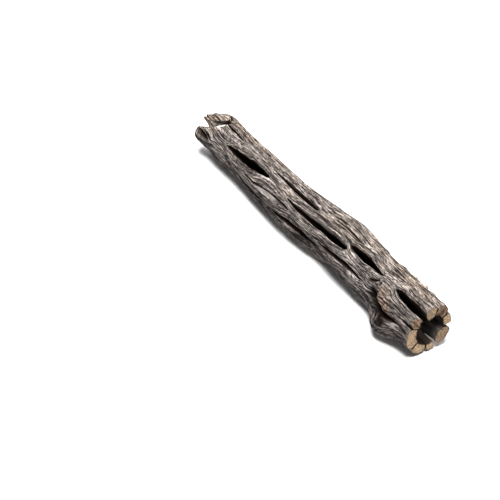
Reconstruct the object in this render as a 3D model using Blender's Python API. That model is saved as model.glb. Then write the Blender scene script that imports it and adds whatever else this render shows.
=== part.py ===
"""Cholla cactus skeleton: the dry hollow wood of one cholla stem, sawn at one end and broken at the other.

It is one grown piece, so it is one object. The wall is a tube of wood strands that part and meet again
round long pointed openings. It lies on its side on z = 0, along X, with the sawn end at +X.

Every place on the stem has a station, in mm from the sawn end, and an angle, in degrees from the top
towards -Y.
"""

import math
import random

import bpy
import numpy as np

# Size and course of the stem, in mm: station, radius, and how far the middle has wandered towards +Y.
LENGTH = 156.0
STATIONS = (0, 10, 20, 30, 40, 50, 60, 70, 80, 90, 100, 110, 120, 130, 140, 156)
RADIUS = (9.9, 10.0, 9.9, 9.7, 9.7, 10.1, 10.0, 9.8, 9.8, 9.7, 9.5, 9.3, 9.0, 8.9, 9.0, 9.2)
BEND = (0.0, 0.3, 0.8, 1.4, 2.0, 2.3, 2.1, 1.7, 1.0, 0.4, 0.4, 0.8, 1.3, 1.8, 2.2, 2.4)
WALL_SAWN, WALL_MIDDLE, WALL_BROKEN = 3.9, 3.8, 3.4
# Two strands at the saw cut are thicker than the rest: by how many mm, angle, reach round in degrees.
STOUT = ((1.5, -124, 24), (1.2, 4, 18))

# Each opening is a slit between two strands: station of its near tip, of its far tip, angle at its middle,
# greatest width in mm, how many degrees it leans from the near tip to the far one, and for some where it is
# widest, as a share of its length from the near tip. A tip below 0 or above LENGTH makes it run out through
# that end.
SEEN = (
    (101, 134, 38, 4.0, 21, 0.42),
    (70, 103, 7, 2.1, -15, 0.29),
    (45, 83, 41, 3.8, 3, 0.30),
    (42, 60, 1, 1.3, -3),
    (54, 68, -6, 0.8, 2),
    (25, 46, 22, 3.4, 5, 0.62),
    (-15, 17, 25, 4.2, 4, 0.66),
    (79, 118, 62, 2.2, 10, 0.35),
    (31, 60, 72, 2.0, 11),
    (59, 93, 91, 2.5, 0),
    (24, 35, 89, 1.0, 6),
    (3, 18, 82, 2.7, 13, 0.74),
    (15, 26, 1, 0.6, 12),
    (97, 124, 96, 1.7, -6),
    (145, 153, 70, 1.9, -14),
    (129, 147, -1, 1.3, -8),
)
# Cracks that part the strand ends at the saw cut.
CUT_ENDS = (
    (-5, 8, -19, 0.9, 0),
    (-8, 12, -60, 0.8, 0),
    (-16, 24, -97, 2.2, 4),
    (-14, 8, -158, 2.2, -3),
    (-8, 12, 171, 0.9, 0),
    (-6, 9, 127, 0.9, 0),
    (-4, 5, 64, 0.8, 0),
)
# The hidden side carries the same staggered pattern on: rows of openings about 30 degrees apart, with the
# openings of one row beside the joins of the next. None of them lets light through a seen opening.
HIDDEN = (
    (84, 110, -33, 0.9, 4),
    (22, 42, -32, 0.8, -5),
    (30, 58, -66, 2.5, 4),
    (72, 104, -68, 3.0, -5),
    (114, 134, -64, 2.2, 6),
    (52, 82, -95, 3.0, 6),
    (92, 120, -98, 2.8, -4),
    (68, 90, -126, 2.5, -5),
    (117, 135, -121, 1.6, 5),
    (38, 68, -160, 3.0, 5),
    (92, 122, -155, 2.7, -6),
    (20, 44, 177, 2.4, 4),
    (68, 93, 174, 2.3, -5),
    (98, 118, 172, 2.6, 4),
    (30, 60, 148, 2.8, 6),
    (102, 130, 146, 2.5, -4),
    (40, 66, 119, 2.2, -5),
    (72, 98, 121, 2.0, 5),
    (112, 134, 120, 2.0, -4),
)
BROKEN_ENDS = (
    (138, 170, -66, 1.6, 4),
    (138, 170, -128, 2.2, -6),
    (136, 172, 172, 2.0, 5),
    (140, 170, 121, 1.4, -4),
)

# Where the strands stop at the broken end: angle and station.
END_FROM = 132.0       # station from which the strands are drawn out or in to where they stop
END_ANGLES = (
    -60, -48, -30, -10, 12, 28, 36, 40, 46, 53, 61, 68,
    74, 86, 96, 106, 126, 150, 172, 196, 222, 250, 276, 300,
)
END_STATIONS = (
    151, 152, 152.5, 153, 153.5, 154.5, 155, 151.5, 148.5, 150, 153.5, 155.5,
    156, 156, 155, 152.5, 148, 151, 146, 150, 147, 151, 149, 151,
)
# The curled strand closes a small window over the broken ends of the strands below it: the window's station,
# its sides as fibre angles, and its height in mm at some fibre angles.
WINDOW_MIDDLE = 145.0
WINDOW_FROM, WINDOW_TO = -15.0, 30.0
WINDOW_ANGLES = (-24, -15, -7.5, 0, 12, 20, 26, 30, 45)
WINDOW_HEIGHTS = (2.4, 0.8, 1.9, 2.6, 3.4, 4.3, 4.6, 1.0, 2.4)

# Lumps and hollows of the outside: station, angle, height in mm, reach along the stem in mm, and reach round
# in degrees.
LUMPS = (
    (15.5, 112, 4.7, 7.2, 24),
    (16.5, 58, 1.6, 4.4, 14),
    (22.5, 66, -1.9, 2.2, 12),
    (18.5, 77, -1.6, 2.6, 8),
    (153, 80, 3.0, 4.5, 24),
    (19, 97, -1.2, 4.0, 7),
    (26, 45, -0.9, 1.3, 12),
    (56, -50, 0.9, 8, 26),
    (56, -90, 0.8, 9, 24),
    (84, 130, 0.9, 11, 24),
    (104, -140, 0.9, 10, 26),
    (118, -45, 0.5, 9, 24),
    (151, -20, 0.8, 5, 30),
    (0, -19, -0.7, 6, 5),
    (0, -60, -0.7, 6, 5),
    (0, -76, -0.6, 7, 10),
    (0, 171, -0.7, 6, 5),
    (0, -176, -0.8, 7, 9),
    (0, 127, -0.7, 6, 5),
    (0, 64, -0.7, 5, 5),
)

# Grid of the wood: columns of fibre round the stem and rows along it. Slits lie on the column lines.
COLUMNS, ROWS, DEPTHS = 48, 46, 2
ROW_COUNTS, ROW_STATIONS = (0, 11, 36, 46), (0, 30, 128, 156)
SPREAD = 38.0          # degrees over which the strands beside an opening are pushed aside
EDGE_FALL = 0.8        # how far a strand's edge falls below its crown, mm
EDGE_REACH = 1.3       # width of that rounding, mm
TIP_REACH = 7.0        # how far the groove runs on past the tip of an opening, mm
WAIST = 0.2            # strands are round, so an opening is narrower half way through the wall by this share
FLAT_DEPTH = 0.4       # wood worn flat where the stem rests, mm
BLUNT = 0.68           # 1 gives openings with sharp tips, less gives blunter ones
# Openings that run aslant through the wall, so that one side shows: station, angle, reach along in mm, and
# reach round and slant in degrees.
SLANTS = ((62, 40, 20, 30, 10.0), (96, 60, 9, 24, -12.0))
SEED = 11


def along(station, values):
    """A value given at STATIONS, smoothed, at any station."""
    return sum(np.interp(station + d, STATIONS, values) for d in (-6, -3, 0, 3, 6)) / 5


def wrap(angle):
    return (angle + 180.0) % 360.0 - 180.0


def row_of(station):
    return int(round(float(np.interp(station, ROW_STATIONS, ROW_COUNTS))))


class Stem:
    """The wood as a grid of cells between fibre lines and stations, with layers through the wall."""

    def __init__(self, div):
        self.div, self.depths = div, DEPTHS * (1 if div == 1 else 2)
        self.n, self.m = COLUMNS * div, ROWS * div
        self.line = np.arange(self.n) * 360.0 / self.n
        self.level = np.interp(np.arange(self.m + 1) / div, ROW_COUNTS, ROW_STATIONS)
        self.place_slits(SEEN + CUT_ENDS + HIDDEN + BROKEN_ENDS)

    def place_slits(self, openings):
        """Puts each opening on a fibre line, then shifts the wood there until it lands at its angle."""
        step = 360.0 / COLUMNS
        rows = []
        for near, far, angle, width, lean, *widest in openings:
            a = row_of(near) if near > 0 else -1
            b = row_of(far) if far < LENGTH else ROWS + 1
            if a >= 0:
                near = float(np.interp(a, ROW_COUNTS, ROW_STATIONS))
            if b <= ROWS:
                far = float(np.interp(b, ROW_COUNTS, ROW_STATIONS))
            rows.append((a, b, near, far, angle, width, lean, *(widest or [0.5])))
        self.rows = rows
        self.near, self.far, self.angle, self.width, self.lean, self.widest = (
            np.array([row[i] for row in rows], float) for i in range(2, 8)
        )
        self.middle = (np.clip(self.near, 0, None) + np.clip(self.far, None, LENGTH)) / 2
        self.own = np.round(self.angle / step) * step
        self.shift = np.zeros(len(rows))
        for _ in range(6):
            here = self.turned(self.own, self.middle, np.zeros(len(rows)), 0.0)
            self.shift += wrap(self.angle - here)
            moved = np.round(self.shift / step) * step
            self.own, self.shift = self.own + moved, self.shift - moved

    def opened(self, station):
        """Half the opening's width at that station, mm, one row for each slit."""
        t = (station[None] - self.near[:, None]) / (self.far - self.near)[:, None]
        t = np.clip(t, 0, 1) ** (math.log(0.5) / np.log(self.widest))[:, None]
        return self.width[:, None] / 2 * (4 * t * (1 - t)) ** BLUNT

    def turned(self, angle, station, side, depth):
        """The angle of the wood after the slits have pushed it aside."""
        radius = along(station, RADIUS)
        away = wrap(angle[None] - self.own[:, None])
        sign = np.where(np.abs(away) < 1e-6, side[None], np.sign(away))
        waist = 1 - WAIST * np.sin(math.pi * depth)
        push = np.degrees(self.opened(station) * waist / radius[None])
        push = push * sign * np.clip(1 - np.abs(away) / SPREAD, 0, None) ** 1.3
        length = (self.far - self.near)[:, None]
        t = (station[None] - (self.near + self.far)[:, None] / 2) / length
        reach = np.exp(-((t / 0.8) ** 4)) * np.clip(1 - np.abs(away) / 34, 0, None) ** 1.5
        lean = self.lean[:, None] * np.clip(t, -0.7, 0.7) * reach
        t = (station[None] - self.middle[:, None]) / length
        near = np.exp(-((t / 0.7) ** 4)) * np.clip(1 - np.abs(away) / 30, 0, None) ** 1.2
        shift = self.shift[:, None] * near
        aslant = depth * sum(
            much * np.exp(-(((station - at) / reach) ** 2) - (wrap(angle - middle) / turn) ** 2)
            for at, middle, reach, turn, much in SLANTS
        )
        return angle + aslant + (push + lean + shift).sum(axis=0)

    def groove(self, angle, station):
        """1 on the edge of an opening, falling to 0 on the crown of a strand and past the tips."""
        radius = along(station, RADIUS)
        away = np.abs(wrap(angle[None] - self.own[:, None])) * math.pi / 180 * radius[None]
        before = (station[None] - self.near[:, None] + TIP_REACH) / (TIP_REACH + 3)
        after = (self.far[:, None] + TIP_REACH - station[None]) / (TIP_REACH + 3)
        ease = np.clip(np.minimum(before, after), 0, 1)
        ease = ease * ease * (3 - 2 * ease) * np.clip(0.45 + self.width[:, None] / 3.2, 0, 1)
        return (ease * np.exp(-((away / EDGE_REACH) ** 2))).max(axis=0)

    def outside(self, turned, station):
        """Lumps and slow waves of the outer skin, mm."""
        high = np.zeros_like(turned)
        for at, angle, height, reach, round_reach in LUMPS:
            high += height * np.exp(
                -(((station - at) / reach) ** 2) - (wrap(turned - angle) / round_reach) ** 2
            )
        chance = random.Random(SEED)
        for turns, size in ((2, 0.16), (3, 0.14), (5, 0.12), (7, 0.10), (4, 0.10)):
            wave = chance.uniform(24, 46)
            start = chance.uniform(0, 360)
            high += size * np.sin(np.radians(turns * turned + start) + 2 * math.pi * station / wave)
        return high

    def points(self, angle, station, side, depth):
        """Where the wood is, in mm. The depth in the wall runs from 0 to 1, and side is -1 or 1 at a slit."""
        turned = self.turned(angle, station, side, depth)
        radius = along(station, RADIUS)
        wall = np.interp(station, (0, 28, 120, LENGTH), (WALL_SAWN, WALL_MIDDLE, WALL_MIDDLE, WALL_BROKEN))
        curl = np.clip((station - 146) / 3, 0, 1) * np.clip(1 - (wrap(turned - 15) / 34) ** 4, 0, 1)
        wall = wall - 1.2 * curl
        groove = self.groove(angle, station)
        outer = radius + self.outside(turned, station) - EDGE_FALL * groove
        inner = radius - wall + 0.8 * EDGE_FALL * groove
        for stout, middle, reach in STOUT:
            inner = inner - stout * np.exp(-((station / 18) ** 2) - (wrap(turned - middle) / reach) ** 2)
        ends = np.interp(np.mod(angle + 60, 360) - 60, END_ANGLES, END_STATIONS)
        tip = np.clip((station - END_FROM) / (LENGTH - END_FROM), 0, 1)
        at = np.where(station > END_FROM, END_FROM + tip * (ends - END_FROM), station)
        outer = outer - 1.1 * tip**6
        inner = inner + 0.7 * tip**6
        away = at - WINDOW_MIDDLE
        high = np.interp(wrap(angle), WINDOW_ANGLES, WINDOW_HEIGHTS) / 2 - 1.2
        at = at + high * np.sign(away) * np.exp(-(((np.abs(away) - 1.2) / 3) ** 2))
        r = outer + (inner - outer) * depth
        t = np.radians(turned)
        return np.stack(
            [LENGTH / 2 - at, along(station, BEND) - r * np.sin(t), along(station, RADIUS) + r * np.cos(t)],
            axis=-1,
        )

    def kept(self):
        """Which cells hold wood: all but those of the window under the curled strand."""
        cells = np.ones((self.n, self.m), bool)
        middle = (self.line + 180.0 / self.n)[:, None]
        rows = np.arange(self.m)[None] // self.div
        inside = (wrap(middle) > WINDOW_FROM) & (wrap(middle) < WINDOW_TO)
        cells[inside & (rows == row_of(WINDOW_MIDDLE))] = False
        return cells

    def split(self):
        """Which (line, level) points, and which (line, row) steps, a slit parts."""
        points = np.zeros((self.n, self.m + 1), bool)
        steps = np.zeros((self.n, self.m), bool)
        for (a, b, *_), own in zip(self.rows, self.own):
            j = int(round(own / 360.0 * self.n)) % self.n
            first = a * self.div if a >= 0 else -1
            last = b * self.div if b <= ROWS else self.m + 1
            points[j, max(first + 1, 0) : min(last, self.m + 1)] = True
            steps[j, max(first, 0) : min(last, self.m)] = True
        return points, steps

    def mesh(self):
        """(points in mm, quads) of the closed skin of all the wood cells."""
        cells = self.kept()
        parted, steps = self.split()
        n, m, k = self.n, self.m, self.depths
        ids = np.arange(2 * n * (m + 1) * (k + 1)).reshape(2, n, m + 1, k + 1)
        ids[1][~parted] = ids[0][~parted]
        left, right = ids[1], np.roll(ids[0], -1, axis=0)
        quads = []

        def add(mask, *corners):
            quads.append(np.stack([corner[mask] for corner in corners], axis=-1).reshape(-1, 4))

        near, far = slice(0, m), slice(1, m + 1)
        for depth, outward in ((0, True), (k, False)):
            ring = (left[:, near, depth], left[:, far, depth], right[:, far, depth], right[:, near, depth])
            add(cells, *(ring if outward else ring[::-1]))
        beside = np.roll(cells, 1, axis=0)
        open_left = cells & (~beside | steps)
        after, cut_after = np.roll(cells, -1, axis=0), np.roll(steps, -1, axis=0)
        open_right = cells & (~after | cut_after)
        padded = np.pad(cells, ((0, 0), (1, 1)))
        open_near = cells & ~padded[:, :-2]
        open_far = cells & ~padded[:, 2:]
        for d in range(k):
            e = d + 1
            add(open_left, left[:, near, d], left[:, near, e], left[:, far, e], left[:, far, d])
            add(open_right, right[:, near, d], right[:, far, d], right[:, far, e], right[:, near, e])
            add(open_near, left[:, near, d], right[:, near, d], right[:, near, e], left[:, near, e])
            add(open_far, left[:, far, d], left[:, far, e], right[:, far, e], right[:, far, d])
        quads = np.concatenate(quads)
        used, quads = np.unique(quads, return_inverse=True)
        side, line, level, depth = np.unravel_index(used, ids.shape)
        at = np.where(side == 1, 1.0, -1.0)
        points = self.points(self.line[line], self.level[level], at, depth / k)
        return points, quads.reshape(-1, 4)


def rested(points):
    """Moves the stem to the middle of x and y and down onto z = 0, with its lowest wood worn flat."""
    low, high = points.min(axis=0), points.max(axis=0)
    points = points - [(low[0] + high[0]) / 2, (low[1] + high[1]) / 2, low[2] + FLAT_DEPTH]
    points[:, 2] = np.clip(points[:, 2], 0, None)
    return points


def wood():
    material = bpy.data.materials.new("weathered wood")
    material.use_nodes = True
    shader = material.node_tree.nodes["Principled BSDF"]
    shader.inputs["Base Color"].default_value = (0.27, 0.23, 0.19, 1)
    shader.inputs["Roughness"].default_value = 0.85
    return material


def main():
    for old in list(bpy.data.objects):
        bpy.data.objects.remove(old, do_unlink=True)
    points, quads = Stem(1).mesh()
    points = rested(points) / 1000
    mesh = bpy.data.meshes.new("cholla_skeleton")
    mesh.from_pydata(points.tolist(), [], quads.tolist())
    mesh.polygons.foreach_set("use_smooth", np.ones(len(quads), bool))
    mesh.update()
    mesh.materials.append(wood())
    bpy.context.collection.objects.link(bpy.data.objects.new("cholla_skeleton", mesh))


main()
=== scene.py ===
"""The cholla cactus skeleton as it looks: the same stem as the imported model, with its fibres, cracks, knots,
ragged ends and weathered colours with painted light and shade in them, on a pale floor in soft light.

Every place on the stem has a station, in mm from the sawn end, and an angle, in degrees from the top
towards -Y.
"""

import math
import random

import bpy
import numpy as np
from mathutils import Matrix, Vector


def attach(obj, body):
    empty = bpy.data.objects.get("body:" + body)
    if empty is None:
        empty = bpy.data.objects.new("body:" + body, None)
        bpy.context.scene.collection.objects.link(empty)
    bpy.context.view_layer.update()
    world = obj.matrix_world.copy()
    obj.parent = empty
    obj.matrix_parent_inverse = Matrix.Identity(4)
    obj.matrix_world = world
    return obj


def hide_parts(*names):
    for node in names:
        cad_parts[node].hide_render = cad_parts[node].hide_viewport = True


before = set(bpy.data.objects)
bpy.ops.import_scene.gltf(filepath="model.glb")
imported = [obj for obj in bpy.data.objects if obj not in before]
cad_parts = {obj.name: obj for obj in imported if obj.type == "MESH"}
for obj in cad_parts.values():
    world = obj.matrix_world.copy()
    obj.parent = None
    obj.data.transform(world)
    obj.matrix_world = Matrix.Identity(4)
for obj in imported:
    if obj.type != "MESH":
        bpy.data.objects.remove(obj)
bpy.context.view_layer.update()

# Size and course of the stem, in mm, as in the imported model: station, radius, and how far the middle has
# wandered towards +Y.
LENGTH = 156.0
STATIONS = (0, 10, 20, 30, 40, 50, 60, 70, 80, 90, 100, 110, 120, 130, 140, 156)
RADIUS = (9.9, 10.0, 9.9, 9.7, 9.7, 10.1, 10.0, 9.8, 9.8, 9.7, 9.5, 9.3, 9.0, 8.9, 9.0, 9.2)
BEND = (0.0, 0.3, 0.8, 1.4, 2.0, 2.3, 2.1, 1.7, 1.0, 0.4, 0.4, 0.8, 1.3, 1.8, 2.2, 2.4)
WALL_SAWN, WALL_MIDDLE, WALL_BROKEN = 3.9, 3.8, 3.4
# Two strands at the saw cut are thicker than the rest: by how many mm, angle, reach round in degrees.
STOUT = ((1.5, -124, 24), (1.2, 4, 18))
STOUT_REACH = 18               # mm from the saw cut over which they grow thinner again
REST_Y, REST_Z = 0.0611, -0.1003   # mm from the stem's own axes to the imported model's

# Openings: near tip, far tip, angle at the middle, greatest width in mm, lean in degrees, and for some how
# far along they are widest, as a share from the near tip.
SEEN = (
    (101, 134, 38, 4.0, 21, 0.42),
    (70, 103, 7, 2.1, -15, 0.29),
    (45, 83, 41, 3.8, 3, 0.30),
    (42, 60, 1, 1.3, -3),
    (54, 68, -6, 0.8, 2),
    (25, 46, 22, 3.4, 5, 0.62),
    (-15, 17, 25, 4.2, 4, 0.66),
    (79, 118, 62, 2.2, 10, 0.35),
    (31, 60, 72, 2.0, 11),
    (59, 93, 91, 2.5, 0),
    (24, 35, 89, 1.0, 6),
    (3, 18, 82, 2.7, 13, 0.74),
    (15, 26, 1, 0.6, 12),
    (97, 124, 96, 1.7, -6),
    (145, 153, 70, 1.9, -14),
    (129, 147, -1, 1.3, -8),
)
# Cracks that part the strand ends at the saw cut.
CUT_ENDS = (
    (-5, 8, -19, 0.9, 0),
    (-8, 12, -60, 0.8, 0),
    (-16, 24, -97, 2.2, 4),
    (-14, 8, -158, 2.2, -3),
    (-8, 12, 171, 0.9, 0),
    (-6, 9, 127, 0.9, 0),
    (-4, 5, 64, 0.8, 0),
)
# The openings of the side that the photograph doesn't show, and those that run out at the broken end.
HIDDEN = (
    (84, 110, -33, 0.9, 4),
    (22, 42, -32, 0.8, -5),
    (30, 58, -66, 2.5, 4),
    (72, 104, -68, 3.0, -5),
    (114, 134, -64, 2.2, 6),
    (52, 82, -95, 3.0, 6),
    (92, 120, -98, 2.8, -4),
    (68, 90, -126, 2.5, -5),
    (117, 135, -121, 1.6, 5),
    (38, 68, -160, 3.0, 5),
    (92, 122, -155, 2.7, -6),
    (20, 44, 177, 2.4, 4),
    (68, 93, 174, 2.3, -5),
    (98, 118, 172, 2.6, 4),
    (30, 60, 148, 2.8, 6),
    (102, 130, 146, 2.5, -4),
    (40, 66, 119, 2.2, -5),
    (72, 98, 121, 2.0, 5),
    (112, 134, 120, 2.0, -4),
)
BROKEN_ENDS = (
    (138, 170, -66, 1.6, 4),
    (138, 170, -128, 2.2, -6),
    (136, 172, 172, 2.0, 5),
    (140, 170, 121, 1.4, -4),
)
# Where the strands stop at the broken end: angle and station.
END_FROM = 132.0               # station from which they are drawn out or in to there
END_ANGLES = (
    -60, -48, -30, -10, 12, 28, 36, 40, 46, 53, 61, 68,
    74, 86, 96, 106, 126, 150, 172, 196, 222, 250, 276, 300,
)
END_STATIONS = (
    151, 152, 152.5, 153, 153.5, 154.5, 155, 151.5, 148.5, 150, 153.5, 155.5,
    156, 156, 155, 152.5, 148, 151, 146, 150, 147, 151, 149, 151,
)
# The curled strand, thinner than the rest, closes a small window: the window's station, its sides as fibre
# angles, and its height in mm at some fibre angles.
CURL_FROM = 146
WINDOW_MIDDLE = 145.0
WINDOW_FROM, WINDOW_TO = -15.0, 30.0
WINDOW_ANGLES = (-24, -15, -7.5, 0, 12, 20, 26, 30, 45)
WINDOW_HEIGHTS = (2.4, 0.8, 1.9, 2.6, 3.4, 4.3, 4.6, 1.0, 2.4)
# Lumps and hollows of the outside: station, angle, height in mm, reach along the stem in mm, and reach round
# in degrees.
LUMPS = (
    (15.5, 112, 4.7, 7.2, 24),
    (16.5, 58, 1.6, 4.4, 14),
    (22.5, 66, -1.9, 2.2, 12),
    (18.5, 77, -1.6, 2.6, 8),
    (153, 80, 3.0, 4.5, 24),
    (19, 97, -1.2, 4.0, 7),
    (26, 45, -0.9, 1.3, 12),
    (56, -50, 0.9, 8, 26),
    (56, -90, 0.8, 9, 24),
    (84, 130, 0.9, 11, 24),
    (104, -140, 0.9, 10, 26),
    (118, -45, 0.5, 9, 24),
    (151, -20, 0.8, 5, 30),
    (0, -19, -0.7, 6, 5),
    (0, -60, -0.7, 6, 5),
    (0, -76, -0.6, 7, 10),
    (0, 171, -0.7, 6, 5),
    (0, -176, -0.8, 7, 9),
    (0, 127, -0.7, 6, 5),
    (0, 64, -0.7, 5, 5),
)
# Slow waves of the outside: how many times round the stem, and height in mm.
WAVES = ((2, 0.16), (3, 0.14), (5, 0.12), (7, 0.10), (4, 0.10))
# Grid of the wood: columns of fibre round the stem and rows along it. Slits lie on the column lines.
COLUMNS, ROWS = 48, 46
ROW_COUNTS, ROW_STATIONS = (0, 11, 36, 46), (0, 30, 128, 156)
SPREAD = 38.0                         # degrees over which the strands beside an opening are pushed aside
EDGE_FALL, EDGE_REACH = 0.4, 0.6      # the crisp rounding of a strand's edge, mm
DIP_FALL, DIP_REACH = 0.55, 2.0       # the wide one, which leaves each strand with a crown
TIP_REACH = 7.0                       # how far the groove runs on past the tip of an opening, mm
WAIST = 0.2                           # how much narrower an opening is half way through the wall
BLUNT = 0.68                          # 1 gives openings with sharp tips, less gives blunter ones
# Openings that run aslant through the wall: station, angle, reach along in mm, and reach round and slant in
# degrees.
SLANTS = ((62, 40, 20, 30, 10.0), (96, 60, 9, 24, -12.0))
SEED = 11

# Finer detail, which only this scene has.
SPLIT_COLUMNS, SPLIT_DEPTHS = 4, 4
SPLIT_ROWS = (6, 4, 5)         # parts of each row near the sawn end, in the middle and near the broken end
# Ridges and fibres: mm across, mm along, mm high, seed. The fibres also show as lighter and darker lines.
RIDGES = ((3.4, 16, 0.10, 1), (1.4, 11, 0.07, 2), (0.9, 2.4, 0.03, 4))
FIBRES = ((0.42, 6.0, 0.10, 31), (0.8, 10.0, 0.05, 32))
# Streaks of the inner wall, and splinters at the broken end: mm high, mm across, mm along, seed.
INNER_STREAKS = ((0.3, 2.2, 9, 5), (0.22, 1.1, 3, 6))
SPLINTERS = ((0.9, 1.3, 4, 7), (0.6, 0.7, 4, 8))
STUB_ANGLE, STUB_REACH = 84, 26          # strands of the rounded stub, which splinter least
FRAYED_ANGLE, FRAYED_REACH = 50, 12      # a strand whose sawn end is frayed
SNAPPED_ANGLE, SNAPPED_REACH = -42, 16   # strands that snapped off short at the saw cut
GIRTH = 62.8                   # mm round the stem
SCAR_RADIUS, KNOT_RADIUS = 10.5, 10      # mm, for distances round the stem at the scars and the knots
CRACKS = 620                   # drying cracks all over, each along one fibre
CRACK_DEPTH, CRACK_EASE = 0.5, 3.5    # depth, and how far a crack's end runs out, mm
# Creases of the old branch scars, with painted shade along them: their course as (station, angle), half width
# in mm, depth in mm.
CREASES = (
    (((27.8, 49), (26.2, 43), (24.6, 37)), 0.7, 1.1),
    (((25.4, 67), (23.0, 79), (20.4, 88), (18.2, 91)), 1.4, 2.8),
    (((21.0, 56), (22.2, 66)), 0.6, 1.0),
    (((17.4, 91), (15.4, 96), (13.0, 97)), 0.7, 1.0),
    (((14.0, 92), (9.0, 96), (5.0, 100)), 0.4, 0.5),
    (((18.0, 100), (13.0, 110), (7.0, 114)), 0.4, 0.5),
    (((149.5, -28), (147.2, -19), (145.2, -11)), 0.8, 1.3),
    (((66, 104), (63, 112), (64, 120)), 0.5, 0.7),
    (((118, 16), (116, 22), (117, 27)), 0.4, 0.5),
    (((58, 0.5), (51, 1.5), (44, 2)), 0.7, 0.5),
    (((66, -7), (61, -6), (56, -5.5)), 0.6, 0.5),
    (((92, -52), (90, -44), (91, -38)), 0.4, 0.5),
)
# Round knots: station, angle, radius of the rim in mm, height of the rim and depth of the hole in mm.
KNOTS = (
    (22.9, 40, 1.5, 0.5, 1.4),
    (147.4, -19, 1.1, 0.5, 0.9),
    (88, 66, 1.1, 0.35, 0.7),
    (126, 78, 1.2, 0.4, 0.8),
    (38, -46, 1.2, 0.5, 0.6),
    (70, -60, 1.3, 0.5, 0.8),
    (110, 150, 1.4, 0.5, 0.9),
    (52, -130, 1.3, 0.5, 0.9),
    (27, 160, 1.2, 0.4, 0.8),
)
PATCH = ((19.2, 47), (16.6, 58), (13.6, 69))   # course of the rough scar, as (station, angle)
PATCH_REACH = 2.9              # how far it reaches from that course, mm
BUMPS = 70                     # small uneven places all over
# Bumps that show on the outline near the sawn end: station, angle, reach and height in mm.
MORE_BUMPS = [(13.4, -50, 0.5, 1.0), (20, -52, 1.0, 0.6), (27, -54, 1.4, 0.6), (9, -50, 1.2, 0.4)]
# Places where the wood is tan, not grey: station, angle, reach along, reach round in degrees, strength.
TAN = (
    (151, 18, 7, 34, 1.0),
    (136, -28, 22, 26, 0.6),
    (100, -34, 34, 24, 0.4),
    (56, 16, 24, 9, 0.7),
    (48, -34, 36, 26, 0.45),
    (16, -30, 18, 34, 0.7),
    (84, 28, 9, 8, 0.4),
    (30, 30, 6, 7, 0.5),
)
# Painted light: places on the slit walls and the inside that are painted paler than the rest, as if light fell
# there: station, angle, reach along, reach round in degrees, strength.
PAINTED_LIGHT = (
    (69, 38, 12, 7, 1.0),
    (52, 38, 6, 6, 0.6),
    (94, 14, 9, 6, 0.8),
    (10, 36, 9, 9, 0.7),
    (98, 62, 7, 14, 1.6),
    (89, 56, 8, 8, 0.8),
    (147, 22, 2.5, 14, 1.2),
    (4, -125, 9, 42, 0.35),
)
# How much darker brown the sawn strands are, at some angles.
BROWN_ANGLES = (-165, -150, -106, -90, -62, -56, -26, -18, 14, 34, 60, 80, 190)
BROWN = (0, 0.75, 0.75, 0.2, 0.2, 1, 1, 0.35, 0.3, 0.4, 0.4, 0, 0)
# Painted shade: angle at which the outside is painted darkest, on its lower left side, and how far round
# that reaches, in degrees.
SHADE_ANGLE, SHADE_REACH = 110, 44
SKIN = 0.01                    # share of the wall's depth that counts as its outer skin
SHARP = 62                     # edges steeper than this many degrees stay sharp

# Map for the baked materials, in mm. The outer skin lies lowest, then the inner one, the sides of the slits
# on shelves, and the ends of the strands.
MAP_OUTER, MAP_INNER = (0.0, 62.0), (63.0, 38.0)    # start and height
MAP_SIDES, MAP_SHELF, MAP_SIDE_STEP, MAP_SIDE_EDGE = 102.0, 4.2, 0.95, 0.1
MAP_ENDS_WIDE, MAP_ENDS_TALL, MAP_END_STEP, MAP_END_EDGE = 150.0, 5.0, 1.1, 0.2

# The camera of the photograph: where it looks and how far off it is, in metres, its angles in degrees, and
# its lens in mm.
LOOKS_AT, DISTANCE = (-0.00487, -0.02279, -0.0001), 0.5
AZIMUTH, ELEVATION = 59.09, 37.0
LENS, SENSOR = 92.91, 36.0
LIGHT_COLOUR = (1.0, 0.99, 0.985)


def along(station, values):
    """A value given at STATIONS, smoothed, at any station."""
    return sum(np.interp(station + d, STATIONS, values) for d in (-6, -3, 0, 3, 6)) / 5


def wrap(angle):
    return (angle + 180.0) % 360.0 - 180.0


def smooth(t):
    t = np.clip(t, 0, 1)
    return t * t * (3 - 2 * t)


def row_of(station):
    return int(round(float(np.interp(station, ROW_STATIONS, ROW_COUNTS))))


def soft_spots(station, turned, spots, power):
    """Sum of soft spots, each given as station, angle, reach along, reach round in degrees and strength."""
    return sum(
        much * np.exp(-(((station - at) / reach) ** power) - (wrap(turned - angle) / turn) ** 2)
        for at, angle, reach, turn, much in spots
    )


def streaks(angle, station, across, length, seed):
    """Smooth noise from -1 to 1, drawn out along the fibres: cells so many mm across and along."""
    chance = np.random.default_rng(seed)
    n = int(round(GIRTH / across))
    count = int(LENGTH / length) + 5
    values = chance.uniform(-1, 1, (n, count))
    starts = chance.uniform(0, 1, n)
    x = np.mod(angle, 360.0) / 360.0 * n
    i = np.floor(x).astype(int)

    def column(i):
        i = i % n
        y = np.clip(station / length + 1 + starts[i], 0, count - 1.001)
        k = np.floor(y).astype(int)
        t = smooth(y - k)
        return values[i, k] * (1 - t) + values[i, k + 1] * t

    t = smooth(x - i)
    return column(i) * (1 - t) + column(i + 1) * t


def near_line(station, angle, course):
    """Distance in mm from a course given as (station, angle) points."""
    x, y = station, np.radians(angle) * SCAR_RADIUS
    best = np.full(station.shape, 99.0)
    for (s0, a0), (s1, a1) in zip(course, course[1:]):
        x0, y0, x1, y1 = s0, math.radians(a0) * SCAR_RADIUS, s1, math.radians(a1) * SCAR_RADIUS
        dx, dy = x1 - x0, y1 - y0
        t = np.clip(((x - x0) * dx + (y - y0) * dy) / (dx * dx + dy * dy), 0, 1)
        best = np.minimum(best, np.hypot(x - x0 - t * dx, y - y0 - t * dy))
    return best


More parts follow.
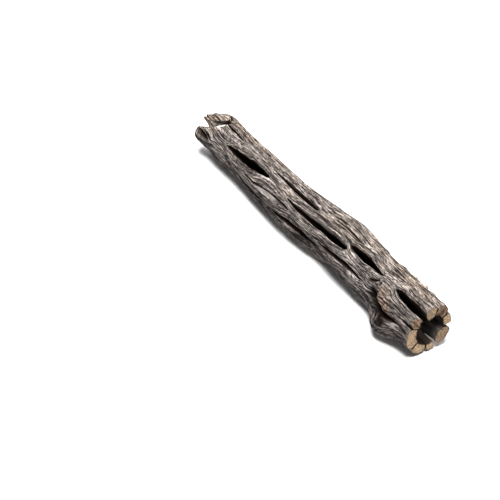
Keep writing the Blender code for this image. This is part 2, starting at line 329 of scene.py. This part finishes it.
class Stem:
    """The wood as a grid of cells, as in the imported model, with each cell parted further."""

    def __init__(self):
        self.n = COLUMNS * SPLIT_COLUMNS
        parts = [SPLIT_ROWS[int(np.searchsorted(ROW_COUNTS[1:3], i, side="right"))] for i in range(ROWS)]
        self.start = np.concatenate([[0], np.cumsum(parts)])
        self.m = int(self.start[-1])
        self.line = np.arange(self.n) * 360.0 / self.n
        rows = np.interp(np.arange(self.m + 1), self.start, np.arange(ROWS + 1))
        self.level = np.interp(rows, ROW_COUNTS, ROW_STATIONS)
        self.place_slits(SEEN + CUT_ENDS + HIDDEN + BROKEN_ENDS)
        self.draw_cracks()

    def place_slits(self, openings):
        """Puts each opening on a fibre line, shifts the wood until it lands at its angle, makes it wavy."""
        step = 360.0 / COLUMNS
        rows = []
        for near, far, angle, width, lean, *widest in openings:
            a = row_of(near) if near > 0 else -1
            b = row_of(far) if far < LENGTH else ROWS + 1
            if a >= 0:
                near = float(np.interp(a, ROW_COUNTS, ROW_STATIONS))
            if b <= ROWS:
                far = float(np.interp(b, ROW_COUNTS, ROW_STATIONS))
            rows.append((a, b, near, far, angle, width, lean, *(widest or [0.5])))
        self.rows = rows
        self.near, self.far, self.angle, self.width, self.lean, self.widest = (
            np.array([row[i] for row in rows], float) for i in range(2, 8)
        )
        self.wavy = np.zeros((len(rows), 4))
        self.middle = (np.clip(self.near, 0, None) + np.clip(self.far, None, LENGTH)) / 2
        self.own = np.round(self.angle / step) * step
        self.shift = np.zeros(len(rows))
        for _ in range(6):
            here = self.turned(self.own, self.middle, np.zeros(len(rows)), 0.0)
            self.shift += wrap(self.angle - here)
            moved = np.round(self.shift / step) * step
            self.own, self.shift = self.own + moved, self.shift - moved
        chance = np.random.default_rng(SEED)
        self.wavy = chance.uniform((6, 0, 2.6, 0), (12, 6.3, 4.6, 6.3), (len(rows), 4))

    def draw_cracks(self):
        """Draws the places of the small bumps and the drying cracks."""
        chance = random.Random(SEED + 1)
        self.cracks = []
        self.bumps = [
            tuple(chance.uniform(*ends) for ends in ((0, LENGTH), (-180, 180), (0.8, 2.4), (-0.3, 0.5)))
            for _ in range(BUMPS)
        ] + MORE_BUMPS
        for _ in range(CRACKS):
            at = chance.randrange(self.n) * 360.0 / self.n
            start = chance.uniform(-4, 150)
            self.cracks.append((at, start, start + chance.uniform(4, 18), chance.uniform(0.35, 1.0)))

    def opened(self, station):
        """Half the opening's width at that station, mm, one row for each slit, with uneven edges."""
        t = (station[None] - self.near[:, None]) / (self.far - self.near)[:, None]
        t = np.clip(t, 0, 1) ** (math.log(0.5) / np.log(self.widest))[:, None]
        half = self.width[:, None] / 2 * (4 * t * (1 - t)) ** BLUNT
        if not self.wavy.any():
            return half
        long, long_start, short, short_start = (self.wavy[:, i][:, None] for i in range(4))
        wave = 0.10 * np.sin(2 * math.pi * station[None] / long + long_start)
        return half * (1 + wave + 0.03 * np.sin(2 * math.pi * station[None] / short + short_start))

    def turned(self, angle, station, side, depth):
        """The angle of the wood after the slits have pushed it aside."""
        radius = along(station, RADIUS)
        away = wrap(angle[None] - self.own[:, None])
        sign = np.where(np.abs(away) < 1e-6, side[None], np.sign(away))
        waist = 1 - WAIST * np.sin(math.pi * depth)
        push = np.degrees(self.opened(station) * waist / radius[None])
        push = push * sign * np.clip(1 - np.abs(away) / SPREAD, 0, None) ** 1.3
        length = (self.far - self.near)[:, None]
        t = (station[None] - (self.near + self.far)[:, None] / 2) / length
        reach = np.exp(-((t / 0.8) ** 4)) * np.clip(1 - np.abs(away) / 34, 0, None) ** 1.5
        lean = self.lean[:, None] * np.clip(t, -0.7, 0.7) * reach
        t = (station[None] - self.middle[:, None]) / length
        near = np.exp(-((t / 0.7) ** 4))
        shift = self.shift[:, None] * near * np.clip(1 - np.abs(away) / 30, 0, None) ** 1.2
        aslant = depth * sum(
            much * np.exp(-(((station - at) / reach) ** 2) - (wrap(angle - middle) / turn) ** 2)
            for at, middle, reach, turn, much in SLANTS
        )
        return angle + aslant + (push + lean + shift).sum(axis=0)

    def groove(self, angle, station, reach):
        """1 on the edge of an opening, falling to 0 on the crown of a strand and past the tips."""
        radius = along(station, RADIUS)
        away = np.abs(wrap(angle[None] - self.own[:, None])) * math.pi / 180 * radius[None]
        before = (station[None] - self.near[:, None] + TIP_REACH) / (TIP_REACH + 3)
        after = (self.far[:, None] + TIP_REACH - station[None]) / (TIP_REACH + 3)
        ease = smooth(np.minimum(before, after)) * np.clip(0.45 + self.width[:, None] / 3.2, 0, 1)
        return (ease * np.exp(-((away / reach) ** 2))).max(axis=0)

    def outside(self, turned, station):
        """Lumps and slow waves of the outer skin, mm."""
        high = np.zeros_like(turned)
        for at, angle, height, reach, round_reach in LUMPS:
            high += height * np.exp(
                -(((station - at) / reach) ** 2) - (wrap(turned - angle) / round_reach) ** 2
            )
        chance = random.Random(SEED)
        for turns, size in WAVES:
            wave = chance.uniform(24, 46)
            start = chance.uniform(0, 360)
            high += size * np.sin(np.radians(turns * turned + start) + 2 * math.pi * station / wave)
        return high

    def cracked(self, angle, station):
        """1 at the bottom of a drying crack, 0 off it. Each crack follows one fibre."""
        found = np.zeros_like(angle)
        for at, start, end, deep in self.cracks:
            on = np.clip(1 - np.abs(wrap(angle - at)) / (360.0 / self.n), 0, None)
            ease = smooth(np.minimum(station - start, end - station) / CRACK_EASE)
            found = np.maximum(found, deep * on * ease)
        return found

    def scars(self, turned, station):
        """(height in mm, painted shade in the hollows, share of the rough patch) of creases, knots, bumps and
        the branch scar.
        """
        high, dark = np.zeros_like(turned), np.zeros_like(turned)
        for course, half, deep in CREASES:
            away = near_line(station, wrap(turned), course) / half
            high = high - deep * np.exp(-(away**2))
            dark = np.maximum(dark, min(1.0, deep) * np.exp(-((away / 1.25) ** 4)))
        for at, angle, radius, rim, hole in KNOTS:
            away = np.hypot(station - at, np.radians(wrap(turned - angle)) * KNOT_RADIUS) / radius
            high += rim * np.exp(-(((away - 1) / 0.4) ** 2)) - hole * np.exp(-((away / 0.6) ** 2))
            dark = np.maximum(dark, np.exp(-((away / 0.7) ** 4)))
        for at, angle, reach, size in self.bumps:
            aside = np.radians(wrap(turned - angle)) * KNOT_RADIUS / reach
            high += size * np.exp(-(((station - at) / reach / 1.6) ** 2) - aside**2)
        patch = smooth(2.0 * (1 - near_line(station, wrap(turned), PATCH) / PATCH_REACH))
        stripes = np.sin(wrap(turned - 70) * 1.2 + 1.3 * np.sin(station * 0.9) + 0.7 * np.sin(station * 2.3))
        high += patch * (0.25 + 0.26 * stripes + 0.4 * streaks(turned, station * 3, 1.1, 3, 21))
        dark = np.maximum(dark, patch * np.clip(-stripes - 0.2, 0, 1))
        return high, dark, patch

    def points(self, angle, station, side, depth):
        """(places in mm, values that the materials read) for arrays of angle, station, side and depth."""
        turned = self.turned(angle, station, side, depth)
        radius = along(station, RADIUS)
        wall = np.interp(station, (0, 28, 120, LENGTH), (WALL_SAWN, WALL_MIDDLE, WALL_MIDDLE, WALL_BROKEN))
        curl = np.clip((station - CURL_FROM) / 3, 0, 1) * np.clip(1 - (wrap(turned - 15) / 34) ** 4, 0, 1)
        wall = wall - 1.2 * curl
        groove = self.groove(angle, station, EDGE_REACH)
        dip = self.groove(angle, station, DIP_REACH)
        crack = self.cracked(angle, station)
        scar, dark, patch = self.scars(turned, station)
        ridges = sum(high * streaks(angle, station, across, far, seed) for across, far, high, seed in RIDGES)
        fibres = sum(high * streaks(angle, station, across, far, seed) for across, far, high, seed in FIBRES)
        outer = radius + self.outside(turned, station) - EDGE_FALL * groove - DIP_FALL * dip
        outer = outer + ridges + fibres + scar - CRACK_DEPTH * crack * (1 - 0.7 * groove)
        inner = radius - wall + 0.8 * EDGE_FALL * groove
        for high, across, far, seed in INNER_STREAKS:
            inner = inner + high * streaks(angle, station, across, far, seed)
        for stout, middle, reach in STOUT:
            aside = wrap(turned - middle) / reach
            inner = inner - stout * np.exp(-((station / STOUT_REACH) ** 2) - aside**2)
        ends = np.interp(np.mod(angle + 60, 360) - 60, END_ANGLES, END_STATIONS)
        jagged = 1 - 0.75 * np.exp(-((wrap(turned - STUB_ANGLE) / STUB_REACH) ** 4))
        ends = ends + jagged * sum(
            high * streaks(angle, depth * 9, across, far, seed) for high, across, far, seed in SPLINTERS
        )
        tip = np.clip((station - END_FROM) / (LENGTH - END_FROM), 0, 1)
        at = station + tip * (ends - LENGTH)
        outer = outer - 1.1 * tip**6 - 2.4 * (1 - jagged) * tip**9
        inner = inner + 0.7 * tip**6
        away = at - WINDOW_MIDDLE
        high = np.interp(wrap(angle), WINDOW_ANGLES, WINDOW_HEIGHTS) / 2 - 1.2
        at = at + high * np.sign(away) * np.exp(-(((np.abs(away) - 1.2) / 3) ** 2))
        frayed = np.exp(-((wrap(turned - FRAYED_ANGLE) / FRAYED_REACH) ** 2)) * smooth(1 - station / 3)
        at = at + frayed * (1.2 * streaks(angle, depth * 9, 1.0, 4, 9) + 0.5)
        snapped = np.exp(-((wrap(turned - SNAPPED_ANGLE) / SNAPPED_REACH) ** 4)) * smooth(1 - station / 4)
        at = at + snapped * (0.9 + 0.9 * streaks(angle, depth * 9, 0.8, 3, 13))
        at = at + 0.12 * smooth(1 - station / 2) * streaks(angle, depth * 9, 0.7, 4, 10)
        r = outer + (inner - outer) * depth
        bulge = 0.25 * np.sin(math.pi * depth) * streaks(angle, station, 3, 5, 12)
        t = np.radians(turned + bulge * 5 * side)
        places = np.stack(
            [
                LENGTH / 2 - at,
                along(station, BEND) - r * np.sin(t) + REST_Y,
                along(station, RADIUS) + r * np.cos(t) + REST_Z,
            ],
            axis=-1,
        )
        places[:, 2] = np.clip(places[:, 2], 0, None)
        f = np.radians(angle)
        grain = radius - depth * wall
        skin = depth < SKIN
        values = {
            "grain": np.stack([grain * np.cos(f), grain * np.sin(f), at], axis=-1),
            "depth": depth,
            "fibre": 0.5 + fibres / 0.3 * skin,
            "painted_light": np.clip(soft_spots(station, turned, PAINTED_LIGHT, 4), 0, 1),
            # painted shade at the bottoms of cracks, in creases, knot holes and the scar's low stripes
            "dark": np.maximum(crack * 0.9, dark) * skin,
            "scar": patch * skin,
            # painted highlight along the edges of the openings
            "rim": groove * skin,
            "tan": np.clip(soft_spots(station, turned, TAN, 2), 0, 1),
            # painted shade on the lower left side of the outside
            "shade": np.exp(-((wrap(turned - SHADE_ANGLE) / SHADE_REACH) ** 2)),
            "brown": np.interp(wrap(turned), BROWN_ANGLES, BROWN),
        }
        return places, values

    def kept(self):
        """Which cells hold wood: all but those of the window under the curled strand."""
        cells = np.ones((self.n, self.m), bool)
        middle = (self.line + 180.0 / self.n)[:, None]
        rows = (np.searchsorted(self.start, np.arange(self.m), side="right") - 1)[None]
        inside = (wrap(middle) > WINDOW_FROM) & (wrap(middle) < WINDOW_TO)
        cells[inside & (rows == row_of(WINDOW_MIDDLE))] = False
        return cells

    def split(self):
        """Which (line, level) points, and which (line, row) steps, a slit parts."""
        points = np.zeros((self.n, self.m + 1), bool)
        steps = np.zeros((self.n, self.m), bool)
        for (a, b, *_), own in zip(self.rows, self.own):
            j = int(round(own / 360.0 * self.n)) % self.n
            first = int(self.start[a]) if a >= 0 else -1
            last = int(self.start[b]) if b <= ROWS else self.m + 1
            points[j, max(first + 1, 0) : min(last, self.m + 1)] = True
            steps[j, max(first, 0) : min(last, self.m)] = True
        return points, steps

    def mesh(self):
        """Points in mm, their values, quads, which quads are sawn, and the bake map at the quads' corners."""
        cells = self.kept()
        parted, steps = self.split()
        n, m, k = self.n, self.m, SPLIT_DEPTHS
        ids = np.arange(2 * n * (m + 1) * (k + 1)).reshape(2, n, m + 1, k + 1)
        ids[1][~parted] = ids[0][~parted]
        left, right = ids[1], np.roll(ids[0], -1, axis=0)
        line, row = np.meshgrid(np.arange(n), np.arange(m), indexing="ij")
        quads, sawn, maps = [], [], []
        near, far = slice(0, m), slice(1, m + 1)
        level = self.level

        def add(mask, corners, spots, cut=False):
            quads.append(np.stack([corner[mask] for corner in corners], axis=-1).reshape(-1, 4))
            maps.append(np.stack([np.stack([x[mask], y[mask]], axis=-1) for x, y in spots], axis=1))
            sawn.append(np.full(len(quads[-1]), cut))

        start, end = level[row], level[row + 1]
        for depth, outward, (base, wide) in ((0, True, MAP_OUTER), (k, False, MAP_INNER)):
            low, high = base + line * wide / n, base + (line + 1) * wide / n
            ring = (left[:, near, depth], left[:, far, depth], right[:, far, depth], right[:, near, depth])
            spots = ((start, low), (end, low), (end, high), (start, high))
            add(cells, ring if outward else ring[::-1], spots if outward else spots[::-1])
        beside = np.roll(cells, 1, axis=0)
        open_left = cells & (~beside | steps)
        after, cut_after = np.roll(cells, -1, axis=0), np.roll(steps, -1, axis=0)
        open_right = cells & (~after | cut_after)
        shelves = []
        for mask, side in ((open_left, left), (open_right, right)):
            shelf = np.zeros(n, int)
            for j in range(n):
                if mask[j].any():
                    for s, used in enumerate(shelves):
                        if not (used & mask[j]).any():
                            break
                    else:
                        s = len(shelves)
                        shelves.append(np.zeros(m, bool))
                    shelves[s] |= mask[j] | np.roll(mask[j], 1) | np.roll(mask[j], -1)
                    shelf[j] = s
            at = MAP_SIDES + shelf[line] * MAP_SHELF + MAP_SIDE_EDGE
            for d in range(k):
                e = d + 1
                low, high = at + d * MAP_SIDE_STEP, at + e * MAP_SIDE_STEP
                corners = (side[:, near, d], side[:, near, e], side[:, far, e], side[:, far, d])
                spots = ((start, low), (start, high), (end, high), (end, low))
                if side is right:
                    corners, spots = corners[::-1], spots[::-1]
                add(mask, corners, spots)
        top = MAP_SIDES + len(shelves) * MAP_SHELF
        across, over = line * MAP_ENDS_WIDE / n, (line + 1) * MAP_ENDS_WIDE / n
        padded = np.pad(cells, ((0, 0), (1, 1)))
        open_near, open_far = cells & ~padded[:, :-2], cells & ~padded[:, 2:]
        for mask, where, flip in ((open_near, near, False), (open_far, far, True)):
            for at_end in (True, False):
                edge = row == (m - 1 if flip else 0)
                part = mask & (edge if at_end else ~edge)
                for d in range(k):
                    e = d + 1
                    low, high = (np.full(line.shape, top + MAP_END_EDGE + i * MAP_END_STEP) for i in (d, e))
                    corners = (left[:, where, d], right[:, where, d], right[:, where, e], left[:, where, e])
                    spots = ((across, low), (over, low), (over, high), (across, high))
                    if flip:
                        corners, spots = corners[::-1], spots[::-1]
                    add(part, corners, spots, cut=at_end and not flip)
                top += MAP_ENDS_TALL
        quads, sawn, maps = np.concatenate(quads), np.concatenate(sawn), np.concatenate(maps)
        used, quads = np.unique(quads, return_inverse=True)
        side, line, level_at, depth = np.unravel_index(used, ids.shape)
        at = np.where(side == 1, 1.0, -1.0)
        points, values = self.points(self.line[line], self.level[level_at], at, depth / k)
        return points, values, quads.reshape(-1, 4), sawn, maps / [LENGTH, top]


def make_stem():
    """The whole stem as one mesh, with its bake map, its values for the materials and both materials."""
    points, values, quads, sawn, maps = Stem().mesh()
    mesh = bpy.data.meshes.new("cholla_wood")
    mesh.from_pydata((points / 1000).tolist(), [], quads.tolist())
    mesh.update()
    bake = mesh.uv_layers.new(name="OFBake")
    bake.uv.foreach_set("vector", maps.reshape(-1).astype(np.float32))
    for name, value in values.items():
        kind, slot = ("FLOAT_VECTOR", "vector") if value.ndim == 2 else ("FLOAT", "value")
        layer = mesh.attributes.new(name, kind, "POINT")
        layer.data.foreach_set(slot, value.reshape(-1).astype(np.float32))
    mesh.materials.append(weathered())
    mesh.materials.append(sawn_wood())
    mesh.polygons.foreach_set("material_index", sawn.astype(np.int32))
    mesh.polygons.foreach_set("use_smooth", ~sawn)
    mesh.set_sharp_from_angle(angle=math.radians(SHARP))
    mesh.update()
    stem = bpy.data.objects.new("cholla_wood", mesh)
    bpy.context.scene.collection.objects.link(stem)
    return stem


def rgb(r, g, b):
    """A colour given as it looks on screen, 0 to 255, in the linear values that nodes use."""
    linear = ((v / 255 / 12.92 if v < 11 else ((v / 255 + 0.055) / 1.055) ** 2.4) for v in (r, g, b))
    return (*linear, 1.0)


class Graph:
    """Short calls for writing a material's nodes."""

    def __init__(self, name):
        self.material = bpy.data.materials.new(name)
        self.material.use_nodes = True
        self.tree = self.material.node_tree
        self.shader = self.tree.nodes["Principled BSDF"]

    def plug(self, socket, value):
        if isinstance(value, bpy.types.NodeSocket):
            self.tree.links.new(value, socket)
        else:
            socket.default_value = value

    def node(self, kind, plugs=(), **settings):
        node = self.tree.nodes.new(kind)
        for name, value in settings.items():
            setattr(node, name, value)
        for key, value in dict(plugs).items():
            self.plug(node.inputs[key], value)
        return node

    def value_of(self, name):
        return self.node("ShaderNodeAttribute", attribute_name=name).outputs["Fac"]

    def grain(self, across, length, shift=0.0):
        """Fibre coordinates with cells so many mm across and along."""
        where = self.node("ShaderNodeAttribute", attribute_name="grain").outputs["Vector"]
        scale = (1 / across, 1 / across, 1 / length)
        return self.node(
            "ShaderNodeMapping", {"Vector": where, "Scale": scale, "Location": (shift, shift, shift)}
        ).outputs["Vector"]

    def noise(self, vector, detail=3.0, rough=0.5):
        plugs = {"Vector": vector, "Scale": 1.0, "Detail": detail, "Roughness": rough}
        return self.node("ShaderNodeTexNoise", plugs).outputs["Fac"]

    def ramp(self, value, *stops):
        """A colour ramp through stops, each a position and a colour or a grey level."""
        node = self.node("ShaderNodeValToRGB", {"Fac": value})
        elements = node.color_ramp.elements
        while len(elements) < len(stops):
            elements.new(0.5)
        for element, (position, colour) in zip(elements, stops):
            element.position = position
            element.color = colour if isinstance(colour, tuple) else (colour, colour, colour, 1)
        return node.outputs["Color"]

    def mix(self, share, a, b, blend="MIX"):
        node = self.node("ShaderNodeMix", data_type="RGBA", blend_type=blend)
        self.plug(node.inputs[0], share)
        self.plug(node.inputs[6], a)
        self.plug(node.inputs[7], b)
        return node.outputs[2]

    def times(self, colour, factor):
        return self.mix(1.0, colour, factor, "MULTIPLY")

    def part_of(self, share, factor):
        """A share made smaller or greater by a factor."""
        node = self.node("ShaderNodeMath", operation="MULTIPLY")
        self.plug(node.inputs[0], share)
        self.plug(node.inputs[1], factor)
        return node.outputs[0]

    def contrast(self, colour, power, middle):
        """The colour with its differences from a middle colour made greater by a power."""
        share = self.mix(1.0, colour, middle, "DIVIDE")
        share = self.node("ShaderNodeGamma", {"Color": share, "Gamma": power}).outputs["Color"]
        return self.times(share, middle)

    def bump(self, height, distance, strength=1.0, normal=None):
        plugs = {"Height": height, "Distance": distance, "Strength": strength}
        if normal is not None:
            plugs["Normal"] = normal
        return self.node("ShaderNodeBump", plugs).outputs["Normal"]


def weathered():
    """Dry wood greyed by weather, with tan patches and a browner inside; painted shade darkens its cracks,
    creases, knot holes, lower left side and inside, painted highlights run along the openings' edges and
    painted light falls on some slit walls.
    """
    g = Graph("weathered_wood")
    broad = g.noise(g.grain(5.0, 22.0), 2.0, 0.5)
    middle = g.noise(g.grain(1.4, 9.0, 7.0), 3.0, 0.6)
    fine = g.noise(g.grain(0.30, 6.5, 3.0), 1.0, 0.5)
    hair = g.noise(g.grain(0.28, 1.6, 5.0), 0.0)
    specks = g.noise(g.grain(0.55, 1.1, 11.0), 2.0, 0.6)
    grey = g.ramp(middle, (0.32, rgb(86, 80, 76)), (0.50, rgb(110, 103, 99)), (0.68, rgb(134, 127, 122)))
    tan = g.ramp(middle, (0.32, rgb(78, 67, 59)), (0.50, rgb(118, 106, 95)), (0.68, rgb(147, 136, 124)))
    colour = g.mix(g.part_of(g.value_of("tan"), g.ramp(broad, (0.36, 0.1), (0.58, 0.9))), grey, tan)
    colour = g.times(colour, g.ramp(fine, (0.36, 0.10), (0.48, 0.92), (0.62, 1.6)))
    colour = g.times(colour, g.ramp(hair, (0.34, 0.35), (0.49, 1.0), (0.66, 1.4)))
    colour = g.times(colour, g.ramp(g.value_of("fibre"), (0.18, 0.4), (0.42, 0.95), (0.8, 1.25)))
    # Painted shade: the outside is painted darker round its darkest angle, on its lower left side.
    colour = g.mix(g.part_of(g.value_of("shade"), 0.9), colour, g.times(colour, (0.33, 0.33, 0.345, 1)))
    # Painted highlight: the outside is painted up to half again as bright along the edges of the openings.
    colour = g.times(colour, g.ramp(g.value_of("rim"), (0.35, 1.0), (0.9, 1.5)))
    colour = g.contrast(colour, 1.2, rgb(108, 103, 99))
    colour = g.mix(g.ramp(specks, (0.63, 0.0), (0.70, 0.5)), colour, rgb(34, 29, 26))
    rough = g.ramp(g.noise(g.grain(0.5, 0.6), 2.0), (0.38, 0.0), (0.6, 1.0))
    pink = g.mix(rough, rgb(82, 66, 58), rgb(162, 140, 125))
    colour = g.mix(g.part_of(g.value_of("scar"), 0.6), colour, pink)
    # Painted shade: near black in cracks, creases, knot holes and the low stripes of the scar.
    colour = g.mix(g.value_of("dark"), colour, rgb(17, 11, 8))
    # The inside: browner wood, painted far darker than it is, as shade in the hollow and on the sides of the
    # openings.
    inside = g.ramp(middle, (0.3, rgb(18, 12, 8)), (0.5, rgb(31, 22, 16)), (0.72, rgb(52, 39, 30)))
    # Painted light: the listed spots turn the dark inside pale grey, as if light fell on those walls.
    inside = g.mix(g.value_of("painted_light"), inside, rgb(128, 122, 117))
    # Painted shade: the sides of the openings take the dark inside colour just below the outer skin.
    deep = g.ramp(g.value_of("depth"), (0.0, 0.0), (0.06, 0.8), (0.3, 1.0))
    colour = g.mix(deep, colour, g.times(inside, g.ramp(fine, (0.3, 0.5), (0.6, 1.2))))
    g.plug(g.shader.inputs["Base Color"], colour)
    g.plug(g.shader.inputs["Roughness"], g.ramp(fine, (0.3, 0.96), (0.65, 0.8)))
    g.shader.inputs["Specular IOR Level"].default_value = 0.04
    normal = g.bump(middle, 0.0004, 0.4)
    normal = g.bump(fine, 0.00035, 1.0, normal)
    normal = g.bump(hair, 0.00025, 1.0, normal)
    g.plug(g.shader.inputs["Normal"], normal)
    return g.material


def sawn_wood():
    """The saw cut: tan end grain, browner in some strands, with pores, saw lines and dark weathered rims."""
    g = Graph("sawn_wood")
    where = g.node("ShaderNodeAttribute", attribute_name="grain").outputs["Vector"]
    cells = g.node("ShaderNodeTexVoronoi", {"Vector": where, "Scale": 2.6}).outputs["Distance"]
    cloud = g.noise(g.grain(0.8, 0.8), 3.0, 0.6)
    strands = g.noise(g.grain(4.5, 4.5, 2.0), 1.0)
    sawing = g.node("ShaderNodeMapping", {"Vector": where, "Scale": (0.5, 4.5, 0.2)}).outputs["Vector"]
    lines = g.noise(sawing, 2.0)
    colour = g.ramp(cloud, (0.32, rgb(108, 84, 62)), (0.5, rgb(156, 132, 104)), (0.68, rgb(194, 172, 138)))
    colour = g.mix(g.ramp(strands, (0.46, 0.0), (0.60, 0.4)), colour, rgb(112, 90, 78))
    colour = g.mix(g.part_of(g.value_of("brown"), 0.8), colour, g.times(colour, (0.36, 0.31, 0.29, 1)))
    colour = g.times(colour, g.ramp(lines, (0.34, 0.78), (0.6, 1.06)))
    colour = g.mix(g.ramp(cells, (0.04, 0.5), (0.14, 0.0)), colour, rgb(70, 50, 38))
    rim = g.ramp(g.value_of("depth"), (0.02, 0.85), (0.12, 0.0), (0.86, 0.0), (1.0, 0.8))
    colour = g.mix(rim, colour, rgb(60, 50, 43))
    g.plug(g.shader.inputs["Base Color"], colour)
    g.shader.inputs["Roughness"].default_value = 0.85
    g.shader.inputs["Specular IOR Level"].default_value = 0.25
    normal = g.bump(lines, 0.0003, 0.6)
    normal = g.bump(cloud, 0.0006, 0.7, normal)
    g.plug(g.shader.inputs["Normal"], g.bump(cells, 0.0003, 0.5, normal))
    return g.material


def make_floor():
    """A plain pale floor, a hair below the stem."""
    mesh = bpy.data.meshes.new("floor")
    side = 3.0
    corners = [(-side, -side, 0), (side, -side, 0), (side, side, 0), (-side, side, 0)]
    mesh.from_pydata(corners, [], [(0, 1, 2, 3)])
    g = Graph("pale_floor")
    g.shader.inputs["Base Color"].default_value = (0.86, 0.86, 0.86, 1)
    g.shader.inputs["Roughness"].default_value = 0.9
    g.shader.inputs["Specular IOR Level"].default_value = 0.2
    mesh.materials.append(g.material)
    floor = bpy.data.objects.new("floor", mesh)
    floor.location.z = -0.00002
    bpy.context.scene.collection.objects.link(floor)
    return floor


def area_light(name, towards, distance, size, watts):
    """A square soft light that faces the stem from the direction given."""
    lamp = bpy.data.lights.new(name, "AREA")
    lamp.shape, lamp.size, lamp.energy, lamp.color = "SQUARE", size, watts, LIGHT_COLOUR
    light = bpy.data.objects.new(name, lamp)
    way = Vector(towards).normalized()
    light.location = way * distance
    light.rotation_euler = way.to_track_quat("Z", "Y").to_euler()
    bpy.context.scene.collection.objects.link(light)


def light_scene():
    """A white room with a soft light overhead and a weaker one from the side."""
    world = bpy.data.worlds.new("studio")
    bpy.context.scene.world = world
    world.use_nodes = True
    background = world.node_tree.nodes["Background"]
    background.inputs["Color"].default_value = (1, 1, 1, 1)
    background.inputs["Strength"].default_value = 0.2
    area_light("overhead", (0.15, -0.14, 0.98), 1.1, 0.5, 30.5)
    area_light("side", (0.10, 0.72, 0.68), 1.2, 0.8, 6.5)
    bpy.context.scene.view_settings.view_transform = "Standard"


def place_camera():
    """The camera of the photograph: 59 degrees round, 37 degrees up, half a metre away."""
    azimuth, elevation = math.radians(AZIMUTH), math.radians(ELEVATION)
    flat = math.cos(elevation)
    back = Vector((math.sin(azimuth) * flat, -math.cos(azimuth) * flat, math.sin(elevation)))
    right = Vector((0, 0, 1)).cross(back).normalized()
    up = back.cross(right)
    data = bpy.data.cameras.new("camera")
    data.lens, data.sensor_width, data.clip_start = LENS, SENSOR, 0.01
    camera = bpy.data.objects.new("camera", data)
    turn = Matrix((right, up, back)).transposed().to_4x4()
    camera.matrix_world = Matrix.Translation(Vector(LOOKS_AT) + back * DISTANCE) @ turn
    bpy.context.scene.collection.objects.link(camera)
    bpy.context.scene.camera = camera


stem = make_stem()
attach(stem, "root")
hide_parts("cholla_skeleton")
make_floor()
light_scene()
place_camera()
